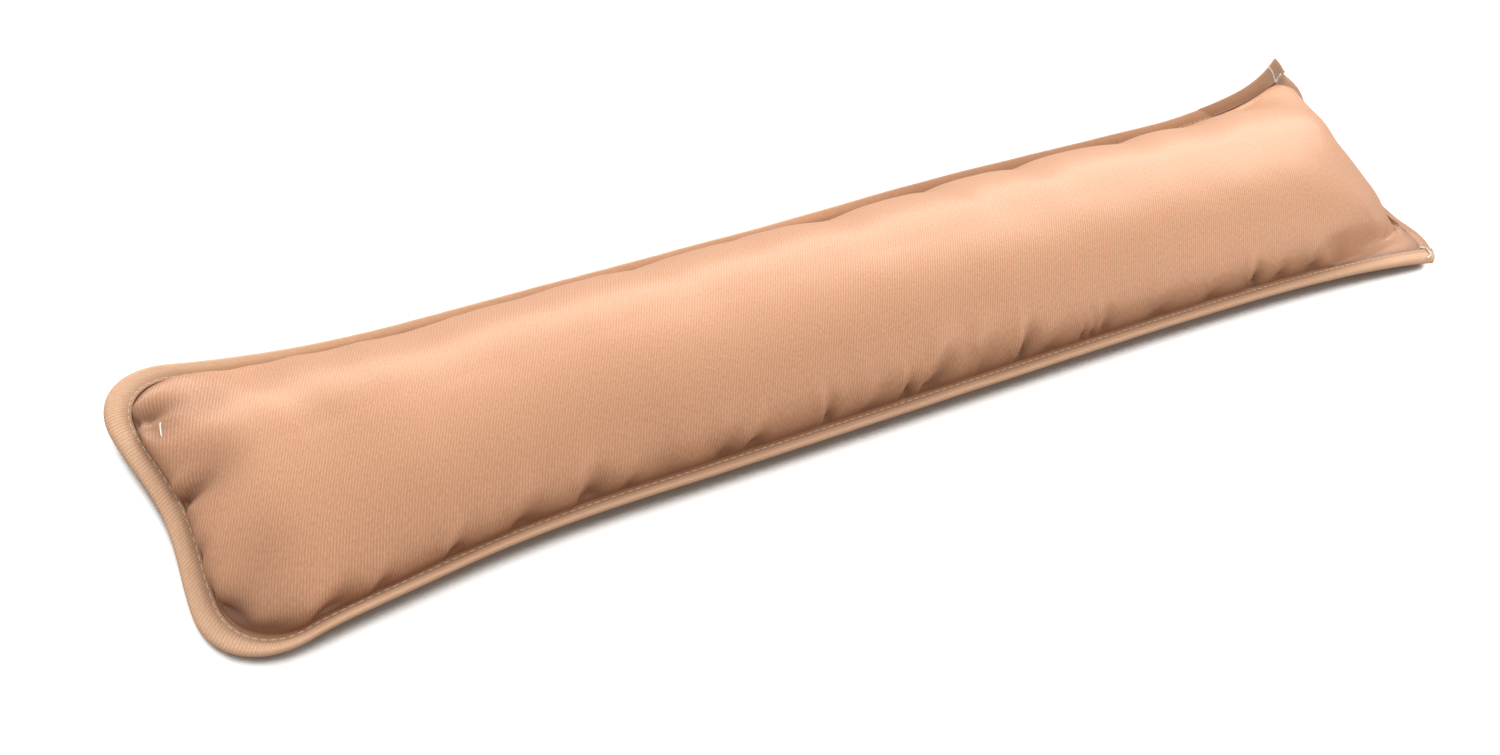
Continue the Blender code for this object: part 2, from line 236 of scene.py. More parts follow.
SEAM_GATHER_LENGTH = 0.011
SEAM_GATHER_REACH = 0.012
# The rows of the noise that the gathers and the patches of shade follow.
GATHER_ROW = 3.0
SHADE_ROW = 5.0

# How finely the mesh follows the outline, and how many rings climb each panel.
SIDE_STEPS = 560
SIDE_CROWDING = 0.35
BOUND_CORNER_STEPS = 28
BOUND_END_STEPS = 56
TIP_STEPS = 4
OPEN_END_STEPS = 84
TOP_RINGS = 36
BELLY_RINGS = 8


def ease(a):
    """Smooth step from 0 to 1."""
    a = min(max(a, 0.0), 1.0)
    return a * a * (3 - 2 * a)


def crown_height(x):
    """Height of the filling over the seam on the middle line, eased between the rows of CROWN."""
    if x <= CROWN[0][0]:
        return CROWN[0][1]
    for (x0, z0), (x1, z1) in zip(CROWN, CROWN[1:]):
        if x <= x1:
            return z0 + (z1 - z0) * ease((x - x0) / (x1 - x0))
    return CROWN[-1][1]


def side_fractions():
    """Places along a long side, 0 to 1, closer together towards both ends."""
    for i in range(SIDE_STEPS + 1):
        even = i / SIDE_STEPS
        crowded = 0.5 - 0.5 * math.cos(math.pi * even)
        yield even + (crowded - even) * SIDE_CROWDING


def arc(centre, radius, start, end, steps):
    """Inner points of an arc in the plan; the angles are in degrees."""
    for i in range(1, steps):
        a = math.radians(start + (end - start) * i / steps)
        yield (centre[0] + radius * math.cos(a), centre[1] + radius * math.sin(a))


def rounded(radius, inset, spread):
    """A corner's radius: its own at spread 0, half the cushion's width at spread 1."""
    return radius + (WIDTH / 2 - inset - radius) * spread


def near_half(inset, end_inset, spread):
    """A long side of the flat outline, from the open end's tip to the middle of the bound end."""
    radius = rounded(CORNER_RADIUS - inset, inset, spread)
    centre = (-LENGTH / 2 + inset + radius, -WIDTH / 2 + inset + radius)
    tip_x = LENGTH / 2 - end_inset - rounded(TIP_RADIUS, inset, spread)
    points = [(tip_x + (centre[0] - tip_x) * f, centre[1] - radius) for f in side_fractions()]
    points += arc(centre, radius, 270, 180, BOUND_CORNER_STEPS)
    for i in range(BOUND_END_STEPS // 2 + 1):
        points.append((centre[0] - radius, centre[1] * (1 - 2 * i / BOUND_END_STEPS)))
    return points


def bound_path(inset, end_inset=EDGE_SETBACK, spread=0.0):
    """The bound edge of the flat outline, from one tip of the open end round to the other."""
    near = near_half(inset, end_inset, spread)
    return near + [(x, -y) for x, y in reversed(near[:-1])]


def outline(inset, end_inset, spread=0.0):
    """The whole flat outline: the bound edge and then the open end, back to the start."""
    points = bound_path(inset, end_inset, spread)
    tip_radius = rounded(TIP_RADIUS, inset, spread)
    end_x = LENGTH / 2 - end_inset
    corner_y = WIDTH / 2 - inset - tip_radius
    centre_x = end_x - tip_radius
    points += arc((centre_x, corner_y), tip_radius, 90, 0, TIP_STEPS)
    for i in range(OPEN_END_STEPS + 1):
        points.append((end_x, corner_y * (1 - 2 * i / OPEN_END_STEPS)))
    points += arc((centre_x, -corner_y), tip_radius, 0, -90, TIP_STEPS)
    return points


def outwards_at(x, y):
    """The way out to the nearest bound edge in the plan, and how far in from that edge."""
    from_x = min(x + LENGTH / 2 - CORNER_RADIUS, 0.0)
    from_y = max(abs(y) - WIDTH / 2 + CORNER_RADIUS, 0.0)
    from_centre = max(math.hypot(from_x, from_y), 1e-6)
    way_out = (from_x / from_centre, math.copysign(from_y / from_centre, y))
    return way_out, CORNER_RADIUS - from_centre


def edge_droop(x, y):
    """How steeply the bound edge hangs there (below zero it turns up), and how far it hangs."""
    way_out, inset = outwards_at(x, y)
    hanging = max(SEAM_INSET - inset, 0.0)
    if abs(SEAM_INSET - inset) <= FOLD_EASE:
        hanging = (SEAM_INSET - inset + FOLD_EASE) ** 2 / (4 * FOLD_EASE)
    bound_end, middle, open_end = EDGE_DROOP[1 if y > 0 else -1]
    end = open_end if x > 0 else bound_end
    droop = middle + (end - middle) * abs(2 * x / LENGTH) ** DROOP_POWER
    return droop * way_out[1] ** 2, hanging


def drawn_in(x, y):
    """Where a point of the flat outline lies once the cushion is filled and its sides pull in."""
    u = 2 * x / LENGTH
    v = 2 * y / WIDTH
    way_out, inset = outwards_at(x, y)
    droop, hanging = edge_droop(x, y)
    shortened = hanging * (1 - 1 / math.hypot(1, droop))
    over_tape = inset / TAPE_WIDTH
    if inset >= TAPE_WIDTH:
        over_tape = math.exp((TAPE_WIDTH - inset) / END_TAPE_FADE)
    shortened += END_TAPE_WIDER * over_tape * way_out[0] ** 2
    draw, power = (FAR_DRAW, FAR_DRAW_POWER) if y > 0 else (NEAR_DRAW, NEAR_DRAW_POWER)
    new_y = y - v * draw * (1 - abs(u) ** power)
    for (x_side, y_side), (flare, length) in CORNER_FLARES.items():
        if y * y_side > 0:
            new_y += v * flare * math.exp(-(LENGTH / 2 - x_side * x) / length)
    for wave_x, side, out, half_length in SIDE_WAVES:
        if y * side > 0:
            new_y += v * out * math.exp(-((x - wave_x) / half_length) ** 2)
    new_y -= shortened * way_out[1]
    across = (0.5 + 0.5 * math.cos(math.pi * min(abs(v), 1.0))) ** 2
    new_x = x - shortened * way_out[0]
    if u < 0:
        inwards = BOUND_END_DRAW * across + NEAR_CORNER_IN * max(-v, 0.0) ** NEAR_CORNER_POWER
        new_x += abs(u) ** END_POWER * inwards
    else:
        back = OPEN_END_DRAW * across + NEAR_TIP_BACK * min(v, 0.0) ** NEAR_TIP_POWER
        for wave_v, out, half_length in HEM_WAVES:
            back -= out * math.exp(-((v - wave_v) / half_length) ** 2)
        new_x -= u ** END_POWER * back
    return new_x, new_y


def seam_height(x, y):
    """Height of the seam, carried across the cushion from its two long sides."""
    u = 2 * x / LENGTH
    far = 0.5 + y / WIDTH
    end = 1 if x > 0 else -1
    middle = SEAM_NEAR + (SEAM_FAR - SEAM_NEAR) * far
    near_corner, far_corner = SEAM_CORNERS[(end, -1)], SEAM_CORNERS[(end, 1)]
    corner = near_corner + (far_corner - near_corner) * far
    height = middle + (corner - middle) * abs(u) ** SEAM_DROP_POWER
    curl = TIP_CURL * math.exp(-(LENGTH / 2 - x) / TIP_CURL_LENGTH)
    droop, hanging = edge_droop(x, y)
    return height + curl * max(2 * y / WIDTH, 0.0) - hanging * droop / math.hypot(1, droop)


def plan_centre():
    """Middle of the drawn-in outline's box, which lies over the origin."""
    points = [drawn_in(x, y) for x, y in bound_path(0.0) + [(LENGTH / 2, WIDTH / 2)]]
    xs, ys = zip(*points)
    return (min(xs) + max(xs)) / 2, (min(ys) + max(ys)) / 2


CENTRE = plan_centre()


def placed(x, y, z):
    """A point over the flat outline, moved to where it lies on the filled cushion."""
    new_x, new_y = drawn_in(x, y)
    return Vector((new_x - CENTRE[0], new_y - CENTRE[1], z))


def towards_ridge(t):
    """A ring from the flat hem's inner edge (t = 0) to the ridge (t = 1): x, y, the way out."""
    ring = outline(SEAM_INSET, HEM_WIDTH, math.sqrt(t))
    ridge_start = -LENGTH / 2 + SEAM_INSET + BOUND_END_RUN
    ridge_end = LENGTH / 2 - HEM_WIDTH - OPEN_END_RUN
    for x, y in ring:
        ridge_x = min(max(x, ridge_start), ridge_end)
        way_out = Vector((x - ridge_x, y - RIDGE_SHIFT))
        yield x + (ridge_x - x) * t, y + (RIDGE_SHIFT - y) * t, way_out


def rise(x, way_out, t):
    """Height of the crown over the seam, which climbs most steeply on the near side."""
    out = way_out.normalized()
    steepness = CROWN_STEEPNESS - NEAR_STEEPER * ease(-out.y)
    steepness -= BOUND_END_STEEPER * ease(-out.x)
    steepness -= OPEN_END_STEEPER * ease(out.x) * ease(0.5 + out.y)
    return crown_height(x) * (1 - (1 - t) ** CROWN_FULLNESS) ** steepness


def bulge(x, way_out, t):
    """How far the filled panel swells out over the seam just above it."""
    out = way_out.normalized()
    faded = FAR_BULGE_LOST * ease((x - FAR_BULGE_FADE_FROM) / FAR_BULGE_FADE)
    most = NEAR_BULGE * ease(-out.y) + FAR_BULGE * (1 - faded) * ease(out.y)
    most += BOUND_END_BULGE * ease(-out.x)
    most += OPEN_END_BULGE * ease(out.x) * ease(0.5 + out.y)
    return out * (most * t / BULGE_AT * math.exp(1 - t / BULGE_AT))


def ear(x, y):
    """How clear the crown has risen of the flat ear at the open end's near tip, 0 to 1."""
    valley = -WIDTH / 2 + TAPE_WIDTH
    valley += EAR_WIDTH * max((x - EAR_START) / EAR_LENGTH, 0.0) ** EAR_CURVE
    clear = ease((y - valley) / EAR_SHOULDER)
    return 1 + (clear - 1) * ease((x - EAR_START) / EAR_FADE)


def pleated(x, y):
    """How far the listed pleats sink the panel, less the folds that stand beside them."""
    depth = 0.0
    for start_x, start_y, to_x, to_y, deep, half_width, fold in PLEATS:
        if abs(x - start_x) < PLEAT_REACH and abs(y - start_y) < PLEAT_REACH:
            length = math.hypot(to_x - start_x, to_y - start_y)
            ahead_x, ahead_y = (to_x - start_x) / length, (to_y - start_y) / length
            along = (x - start_x) * ahead_x + (y - start_y) * ahead_y
            across = (y - start_y) * ahead_x - (x - start_x) * ahead_y
            strength = 1 - ease(along / length)
            if along < 0:
                strength = math.exp(-(along / PLEAT_HEAD) ** 2)
            widening = PLEAT_WIDENING * max(along, 0.0) / length
            width = half_width * (PLEAT_START_WIDTH + widening)
            valley = math.exp(-(across / width) ** 2)
            crest = math.exp(-((across - FOLD_BESIDE * width) / width) ** 2)
            depth += strength * (deep * valley - fold * crest)
    return depth


def sunk(x, y):
    """How far hollows and dimples sink the top at a point of the flat outline."""
    depth = 0.0
    from_seam = WIDTH / 2 - TAPE_WIDTH - abs(y)
    for hollow_x, side, deep, half_width, reach, slant in HOLLOWS:
        if side * y > 0:
            along = (x - hollow_x - slant * from_seam) / half_width
            run = from_seam / reach
            depth += deep * run * math.exp(1 - run - along * along)
    for dimple_x, dimple_y, deep, radius, _ in DIMPLES:
        away = math.hypot(x - dimple_x, y - dimple_y) / radius
        depth += deep * math.exp(-away * away)
    return depth


def uneven(x, y):
    """The slow unevenness of the filling, and the fine gathers that die out away from the seam."""
    height = 0.0
    for deep, length in SOFT_WAVES:
        height += deep * noise.noise(Vector((x / length, y / length, deep * 1e4)))
    from_seam = max(WIDTH / 2 - TAPE_WIDTH - abs(y), 0.0)
    gather = noise.noise(Vector((x / SEAM_GATHER_LENGTH, math.copysign(GATHER_ROW, y), 0.0)))
    return height + SEAM_GATHER * gather * math.exp(-from_seam / SEAM_GATHER_REACH)


def in_shade(x, y, way_out, t):
    """How much painted shade darkens the panel at the seam and round its dimples, unevenly on the
    near side.
    """
    dimple_shade = 0.0
    # Painted shade round the dimples; folded is each dimple's share of it.
    for dimple_x, dimple_y, _, radius, folded in DIMPLES:
        away = math.hypot(x - dimple_x, y - dimple_y) / radius
        dimple_shade += folded * math.exp(-away * away)
    patchy = 1 + SHADE_PATCHINESS * noise.noise(Vector((x / SHADE_LENGTH, SHADE_ROW, 0.0)))
    out = way_out.normalized()
    reach = SEAM_SHADE + NEAR_SHADE * patchy * ease(-out.y)
    reach += BOUND_END_SHADE * ease(-out.x)
    return math.exp(-t / reach) + dimple_shade


def top_ring(t):
    """One ring of the crowned top: the flat place on the panel and where it lies."""
    for x, y, way_out in towards_ridge(t):
        filled = rise(x, way_out, t) * ear(x, y)
        z = seam_height(x, y) + PANEL_EDGE / 2 + filled
        z -= sunk(x, y) * ease(filled / FILLED_HEIGHT)
        climb = rise(x, way_out, t) - rise(x, way_out, t * (1 - SLOPE_STEP))
        slope = climb / (t * SLOPE_STEP) / way_out.length_squared
        outwards = Vector((way_out.x * slope, way_out.y * slope, 1.0)).normalized()
        push = (uneven(x, y) - pleated(x, y)) * ease(t / PLEAT_FADE)
        swell = bulge(x, way_out, t) * ear(x, y)
        # Painted shade: the panel's colour is darkened in the pleats' valleys, along the seam and
        # round the dimples.
        painted_shade_share = max(pleated(x, y), 0.0) / FULL_SHADE_DEPTH
        painted_shade_share += in_shade(x, y, way_out, t)
        place = placed(x, y, z) + outwards * push + Vector((swell.x, swell.y, 0.0))
        yield (x, y, min(painted_shade_share, 1.0)), place


def belly_ring(t):
    """One ring of the underside, pressed flat where it would hang below the surface."""
    hang = BELLY * (1 - (1 - t) ** BELLY_FULLNESS)
    for x, y, way_out in towards_ridge(t):
        z = seam_height(x, y) - PANEL_EDGE / 2 - hang
        z += uneven(x + LENGTH, y) * ease(t / BELLY_FADE)
        # The third number is the painted shade along the seam.
        yield (x, y, min(in_shade(x, y, way_out, t), 1.0)), placed(x, y, max(z, 0.0))


def hem_ring(inset, end_inset, side):
    """One ring of the flat edge where the panels lie together; side is 1 above, -1 below."""
    for x, y in outline(inset, end_inset):
        # Painted shade over the whole flat edge, deeper on the far side.
        shade = HEM_SHADE + FAR_HEM_SHADE * ease(y / FAR_HEM_FADE)
        yield (x, y, shade), placed(x, y, seam_height(x, y) + side * PANEL_EDGE / 2)


def wrap_grid(rows, closed_across):
    """A grid of faces over rows of points; each has its flat place (its UV) and its painted shade.
    """
    bm = bmesh.new()
    count = len(rows[0])
    across = count if closed_across else count - 1
    down = len(rows) - 1
    flat = bm.verts.layers.float_vector.new("flat")
    cloth = bm.loops.layers.uv.new("cloth")
    grid = bmesh.ops.create_grid(bm, x_segments=across, y_segments=down, size=1.0)
    for vert in grid["verts"]:
        i = round((vert.co.x + 1) / 2 * across)
        j = round((vert.co.y + 1) / 2 * down)
        vert[flat], vert.co = rows[j][i % count]
    for face in bm.faces:
        for loop in face.loops:
            loop[cloth].uv = loop.vert[flat].xy
    bmesh.ops.remove_doubles(bm, verts=bm.verts, dist=1e-6)
    return bm


def finished(name, bm, material):
    """Make a bmesh into a piece at the origin, facing outwards, that rides on the body."""
    bmesh.ops.recalc_face_normals(bm, faces=bm.faces)
    mesh = bpy.data.meshes.new(name)
    bm.to_mesh(mesh)
    bm.free()
    mesh.materials.append(material)
    mesh.shade_smooth()
    piece = bpy.data.objects.new(name, mesh)
    bpy.context.collection.objects.link(piece)
    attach(piece, "root")
    return piece


def linear(hex_colour):
    """An sRGB hex colour as linear red, green, blue and alpha."""
    channels = [int(hex_colour[i:i + 2], 16) / 255 for i in (0, 2, 4)]
    return [c / 12.92 if c <= 0.04045 else ((c + 0.055) / 1.055) ** 2.4 for c in channels] + [1.0]


def add_node(material, kind, settings=(), inputs=()):
    """Add one node: settings are its properties, inputs are values or the sockets that feed it."""
    tree = material.node_tree
    node = tree.nodes.new(kind)
    for key, value in dict(settings).items():
        setattr(node, key, value)
    for key, value in dict(inputs).items():
        if isinstance(value, bpy.types.NodeSocket):
            tree.links.new(value, node.inputs[key])
        else:
            node.inputs[key].default_value = value
    return node


# Polyester satin, woven: long floats give a soft sheen, and the eye sees fine slanted ribs,
# here 1.4 mm apart because the real ones are too fine to show.
PANEL_COLOUR = "CE9673"
PANEL_LIGHT = "E2AB87"
PANEL_DEEP = "C28A67"
PANEL_PAINTED_SHADE = "5E3E2E"
RIB_PITCH = 0.0014
RIB_SLANT = math.radians(28)
RIB_WAVER = 0.5
RIB_CONTRAST = 0.60
RIB_LEVEL = 0.42
FLOAT_WIDTH = 0.0009
FLOAT_LENGTH = 0.0020
THREAD_RELIEF = 0.0002
GLINT_FROM = 0.22
GLINT_TO = 0.55
TONE_PATCHES = 22.0
SHEEN_TINT = "FFD2B2"
SHEEN_SPREAD = 0.4
GLOSS_TINT = "FFD6B8"
# Blender's wave texture repeats each time its scaled coordinate grows by this much.
WAVE_PERIOD = 0.314159


def woven_satin(name, base, light, deep, dark, shading, pitch, slant,
                roughness, gloss, sheen, relief):
    """Satin with slanted ribs broken into floats, over a slow change of tone, darkened by the
    painted shade kept on the mesh.
    """
    material = bpy.data.materials.new(name)
    material.use_nodes = True
    shader = material.node_tree.nodes["Principled BSDF"]
    place = add_node(material, "ShaderNodeUVMap", {"uv_map": "cloth"})
    turned = add_node(material, "ShaderNodeMapping", {},
                      {"Vector": place.outputs["UV"], "Rotation": (0, 0, slant)})
    ribs = add_node(material, "ShaderNodeTexWave", {"bands_direction": "X"},
                    {"Vector": turned.outputs["Vector"], "Scale": WAVE_PERIOD / pitch,
                     "Distortion": RIB_WAVER, "Detail": 1.0, "Detail Scale": 2.0})
    stretched = add_node(material, "ShaderNodeMapping", {},
                         {"Vector": turned.outputs["Vector"],
                          "Scale": (1 / FLOAT_WIDTH, 1 / FLOAT_LENGTH, 1)})
    floats = add_node(material, "ShaderNodeTexNoise", {},
                      {"Vector": stretched.outputs["Vector"], "Scale": 1.0,
                       "Detail": 2.0, "Roughness": 0.6})
    ribbed = add_node(material, "ShaderNodeMath", {"operation": "MULTIPLY_ADD"},
                      {0: ribs.outputs["Fac"], 1: RIB_CONTRAST, 2: RIB_LEVEL})
    weave = add_node(material, "ShaderNodeMath", {"operation": "MULTIPLY"},
                     {0: ribbed.outputs["Value"], 1: floats.outputs["Fac"]})
    body = add_node(material, "ShaderNodeTexCoord")
    tone = add_node(material, "ShaderNodeTexNoise", {},
                    {"Vector": body.outputs["Object"], "Scale": TONE_PATCHES,
                     "Detail": 3.0, "Roughness": 0.55})
    tones = add_node(material, "ShaderNodeMix", {"data_type": "RGBA"},
                     {0: tone.outputs["Fac"], 6: linear(deep), 7: linear(base)})
    # Lighter threads in the colour: partly the weave's own pattern and partly painted glints of
    # the ribs.
    glint = add_node(material, "ShaderNodeMapRange", {},
                     {"Value": weave.outputs["Value"],
                      "From Min": GLINT_FROM, "From Max": GLINT_TO})
    colour = add_node(material, "ShaderNodeMix", {"data_type": "RGBA"},
                      {0: glint.outputs["Result"], 6: tones.outputs[2], 7: linear(light)})
    # Painted shade: the third number kept on the mesh mixes the colour towards the colour given
    # for painted shade.
    kept = add_node(material, "ShaderNodeAttribute", {"attribute_name": "flat"})
    painted_shade_share = add_node(material, "ShaderNodeSeparateXYZ", {}, {0: kept.outputs["Vector"]})
    shade = add_node(material, "ShaderNodeMapRange", {},
                     {"Value": painted_shade_share.outputs["Z"], "To Max": shading})
    shaded = add_node(material, "ShaderNodeMix", {"data_type": "RGBA"},
                      {0: shade.outputs["Result"], 6: colour.outputs[2], 7: linear(dark)})
    bump = add_node(material, "ShaderNodeBump", {},
                    {"Height": weave.outputs["Value"], "Strength": relief,
                     "Distance": THREAD_RELIEF})
    tree = material.node_tree
    tree.links.new(shaded.outputs[2], shader.inputs["Base Color"])
    tree.links.new(bump.outputs["Normal"], shader.inputs["Normal"])
    shader.inputs["Roughness"].default_value = roughness
    shader.inputs["Specular IOR Level"].default_value = gloss
    shader.inputs["Sheen Weight"].default_value = sheen
    shader.inputs["Sheen Roughness"].default_value = SHEEN_SPREAD
    shader.inputs["Sheen Tint"].default_value = linear(SHEEN_TINT)
    shader.inputs["Specular Tint"].default_value = linear(GLOSS_TINT)
    return material


EDGE_INSET = TAPE_WALL + CLEARANCE
EDGE_ROUND = 0.0006
FLAT_EDGE = [
    # rings round the flat edge: inset from the outline, inset from the open end,
    # and the height as a share of half the edge's thickness, from the underside to the top
    (SEAM_INSET, HEM_WIDTH, -1),
    (EDGE_INSET + EDGE_ROUND, EDGE_SETBACK + EDGE_ROUND, -1),
    (EDGE_INSET, EDGE_SETBACK, -0.4),
    (EDGE_INSET, EDGE_SETBACK, 0.4),
    (EDGE_INSET + EDGE_ROUND, EDGE_SETBACK + EDGE_ROUND, 1),
    (SEAM_INSET, HEM_WIDTH, 1),
]
RING_CROWDING = 1.5


def crowned_panels():
    """Both panels as one closed skin, from the middle of the belly round to the ridge."""
    belly_steps = [(i / BELLY_RINGS) ** RING_CROWDING for i in range(1, BELLY_RINGS + 1)]
    top_steps = [(i / TOP_RINGS) ** RING_CROWDING for i in range(1, TOP_RINGS + 1)]
    rows = [list(belly_ring(t)) for t in reversed(belly_steps)]
    rows += [list(hem_ring(*ring)) for ring in FLAT_EDGE]
    rows += [list(top_ring(t)) for t in top_steps]
    return wrap_grid(rows, closed_across=True)


panel_satin = woven_satin(
    "panel_satin", PANEL_COLOUR, PANEL_LIGHT, PANEL_DEEP, PANEL_PAINTED_SHADE, shading=0.8,
    pitch=RIB_PITCH, slant=RIB_SLANT, roughness=0.33, gloss=0.75, sheen=0.22, relief=0.6)
cushion = finished("satin_cushion", crowned_panels(), panel_satin)
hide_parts("filled_cushion")

# The edge binding. One straight tape of heavier satin, folded over the raw edges of both
# panels and sewn down near its inner edges. The fold stays round, the stitching pins it flat.
TAPE_FOLD_ROUND = 0.0024
TAPE_FULL = 0.00225
TAPE_FULL_REACH = 0.0045
TAPE_PINCH = 0.0014
TAPE_LIP = 0.0016
STITCH_INSET = 0.0084
# Tape satin: a heavier and duller weave than the panels', cut so that its ribs cross the fold at
# 45 degrees. They too are drawn coarser than they are, 1.2 mm apart.
TAPE_COLOUR = "DDB190"
TAPE_LIGHT = "E6BD9C"
TAPE_DEEP = "CA9D7C"
TAPE_PAINTED_SHADE = "6B4A35"
TAPE_RIB = 0.0012
# where the tape's section has a point, in from its fold
TAPE_INSETS = [TAPE_WIDTH - 0.0002, TAPE_WIDTH - 0.0006, STITCH_INSET,
               0.0075, 0.0065, 0.0055, 0.0045, 0.0033]
TAPE_EDGE_ROUND = 0.0002
FOLD_STEPS = 10
SWAY_ROW = 7.0
PUCKER_ROW = 3.0
TAPE_WANDER = 0.0004
TAPE_WANDER_LENGTH = 0.045
TAPE_PUCKER = 0.00012
TAPE_PUCKER_LENGTH = 0.006
JOIN_X = 0.318
JOIN_STEP = 0.0005
JOIN_LENGTH = 0.0012
PINNED_REACH = 0.002
PINNED_SHADE = 0.58
FAR_TAPE_FADE = 0.1
FAR_TAPE_PAINTED_SHADE = 0.50
JOIN_DARKER = 0.40


def tape_height(inset):
    """Half thickness of the folded tape at an inset from its outer edge."""
    if inset < TAPE_FOLD_ROUND:
        return TAPE_FULL * math.sqrt(1 - (1 - inset / TAPE_FOLD_ROUND) ** 2)
    if inset < STITCH_INSET:
        fallen = ease((inset - TAPE_FULL_REACH) / (STITCH_INSET - TAPE_FULL_REACH))
        return TAPE_FULL + (TAPE_PINCH - TAPE_FULL) * fallen
    lifted = ease((inset - STITCH_INSET) / (TAPE_WIDTH - STITCH_INSET))
    return TAPE_PINCH + (TAPE_LIP - TAPE_PINCH) * lifted


def tape_sway(x, y):
    """The folded tape's slow waver up and down along its length."""
    place = Vector((x / TAPE_WANDER_LENGTH, y / TAPE_WANDER_LENGTH, SWAY_ROW))
    return noise.noise(place) * TAPE_WANDER


def tape_rows():
    """The tape's surface as rows along its length, round the fold and back inside it."""
    inside = PANEL_EDGE / 2 + CLEARANCE
    section = [(TAPE_WIDTH, inside + TAPE_EDGE_ROUND)]
    section += [(inset, tape_height(inset)) for inset in TAPE_INSETS]
    for i in range(FOLD_STEPS + 1):
        a = math.pi * (0.5 - i / FOLD_STEPS)
        section.append((TAPE_FOLD_ROUND * (1 - math.cos(a)), TAPE_FULL * math.sin(a)))
    section += [(inset, -tape_height(inset)) for inset in reversed(TAPE_INSETS)]
    section += [(TAPE_WIDTH, -inside - TAPE_EDGE_ROUND), (TAPE_WIDTH, -inside)]
    section += [(TAPE_WALL, -inside), (TAPE_WALL, inside), (TAPE_WIDTH, inside)]
    across = 0.0
    rows = []
    for k, (inset, z) in enumerate(section):
        if k:
            across += math.hypot(inset - section[k - 1][0], z - section[k - 1][1])
        rows.append(tape_row(inset, z, across))
    return rows + [tape_row(section[0][0], section[0][1], across)]


def tape_path(inset):
    """The tape's flat path at an inset, carried on to its two cut ends."""
    path = bound_path(inset)
    return [(LENGTH / 2, path[0][1])] + path + [(LENGTH / 2, path[-1][1])]


def tape_row(inset, z, across):
    """One line of the tape along its length: its flat place on the tape and where it lies."""
    row = []
    run = 0.0
    path = tape_path(inset)
    pinned = math.exp(-((inset - STITCH_INSET) / PINNED_REACH) ** 2)
    for k, (x, y) in enumerate(path):
        if k:
            run += math.dist(path[k - 1], (x, y))
        pucker = noise.noise(Vector((run / TAPE_PUCKER_LENGTH, PUCKER_ROW, z * 1e3)))
        pucker *= TAPE_PUCKER * (1 - pinned)
        lapped = ease((x - JOIN_X - inset) / JOIN_LENGTH) if y > 0 and z > 0 else 0.0
        height = seam_height(x, y) + z + tape_sway(x, y) + pucker + JOIN_STEP * lapped
        # Painted shade darkens the far run of tape towards the open end; past the join the tape is
        # darker again.
        far_shade_and_darker_lap = 0.0
        if y > 0:
            far_shade_and_darker_lap = FAR_TAPE_PAINTED_SHADE * ease(x / FAR_TAPE_FADE) + JOIN_DARKER * lapped
        # Near the stitch line the tape is also darkened with painted shade.
        row.append(((run, across, max(PINNED_SHADE * pinned, far_shade_and_darker_lap)), placed(x, y, height)))
    return row


tape_satin = woven_satin(
    "tape_satin", TAPE_COLOUR, TAPE_LIGHT, TAPE_DEEP, TAPE_PAINTED_SHADE, shading=0.6,
    pitch=TAPE_RIB, slant=math.radians(45), roughness=0.6, gloss=0.35, sheen=0.1, relief=0.25)
tape_bm = wrap_grid(tape_rows(), closed_across=False)
bmesh.ops.holes_fill(tape_bm, edges=[e for e in tape_bm.edges if e.is_boundary], sides=0)
binding = finished("folded_tape", tape_bm, tape_satin)
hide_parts("edge_binding")

# The sewing. Pale thread pins the tape on both faces and closes the open end. White tacks hold
# the tape's two cut ends, and one white hand stitch pins the panels together in a dimple.
# The thread is drawn thicker than sewing thread is, so that it shows.
THREAD = 0.0005
TACK_THREAD = THREAD * 1.9
HAND_THREAD = THREAD * 1.4
STITCH_LENGTH = 0.0032
STITCH_PITCH = 0.0046
STITCH_SINK = 0.0002
STITCH_PROUD = THREAD * 0.3
STITCH_PARTS = 4
FIRST_STITCH = 0.002
THREAD_COLOUR = "EED3B3"
WHITE_THREAD_COLOUR = "FBF6EF"
CLOSING_INSET = 0.0075
CLOSING_STEPS = 40
TACK_WIDTH = 0.0012
TACK_PITCH = 0.0004
TACK_MARGIN = 0.0003
TACK_PROUD = THREAD * 1.1
TACKS = [
    # the bar tacks: side of the cushion, and the corners of a bent line on the tape's upper face,
    # each as x and the distance in from the edge
    (-1, [(0.3896, 0.0115), (0.3942, 0.0095), (0.3948, 0.0027), (0.3911, 0.0013)]),
    (1, [(0.3915, 0.0010), (0.3915, 0.0045), (0.3900, 0.0095), (0.3965, 0.0085)]),
]
HAND_STITCH = [(-0.3776, 0.0463), (-0.3822, 0.0359)]
HAND_STITCH_PARTS = 6
ABOVE_THE_CUSHION = 0.2


def thread_of(name, hex_colour):
    """Sewing thread: a matt pale colour with a little sheen."""
    material = bpy.data.materials.new(name)
    material.use_nodes = True
    shader = material.node_tree.nodes["Principled BSDF"]
    shader.inputs["Base Color"].default_value = linear(hex_colour)
    shader.inputs["Roughness"].default_value = 0.6
    shader.inputs["Sheen Weight"].default_value = 0.2
    return material


def sewn(name, runs, thickness, material):
    """Threads as round cords, one for each run of points, in one piece."""
    curve = bpy.data.curves.new(name, "CURVE")
    curve.dimensions = "3D"
    curve.bevel_depth = thickness / 2
    curve.bevel_resolution = 1
    curve.use_fill_caps = True
    for run in runs:
        spline = curve.splines.new("POLY")
        spline.points.add(len(run) - 1)
        for point, place in zip(spline.points, run):
            point.co = (*place, 1.0)
    curve.materials.append(material)
    piece = bpy.data.objects.new(name, curve)
    bpy.context.collection.objects.link(piece)
    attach(piece, "root")
    return piece


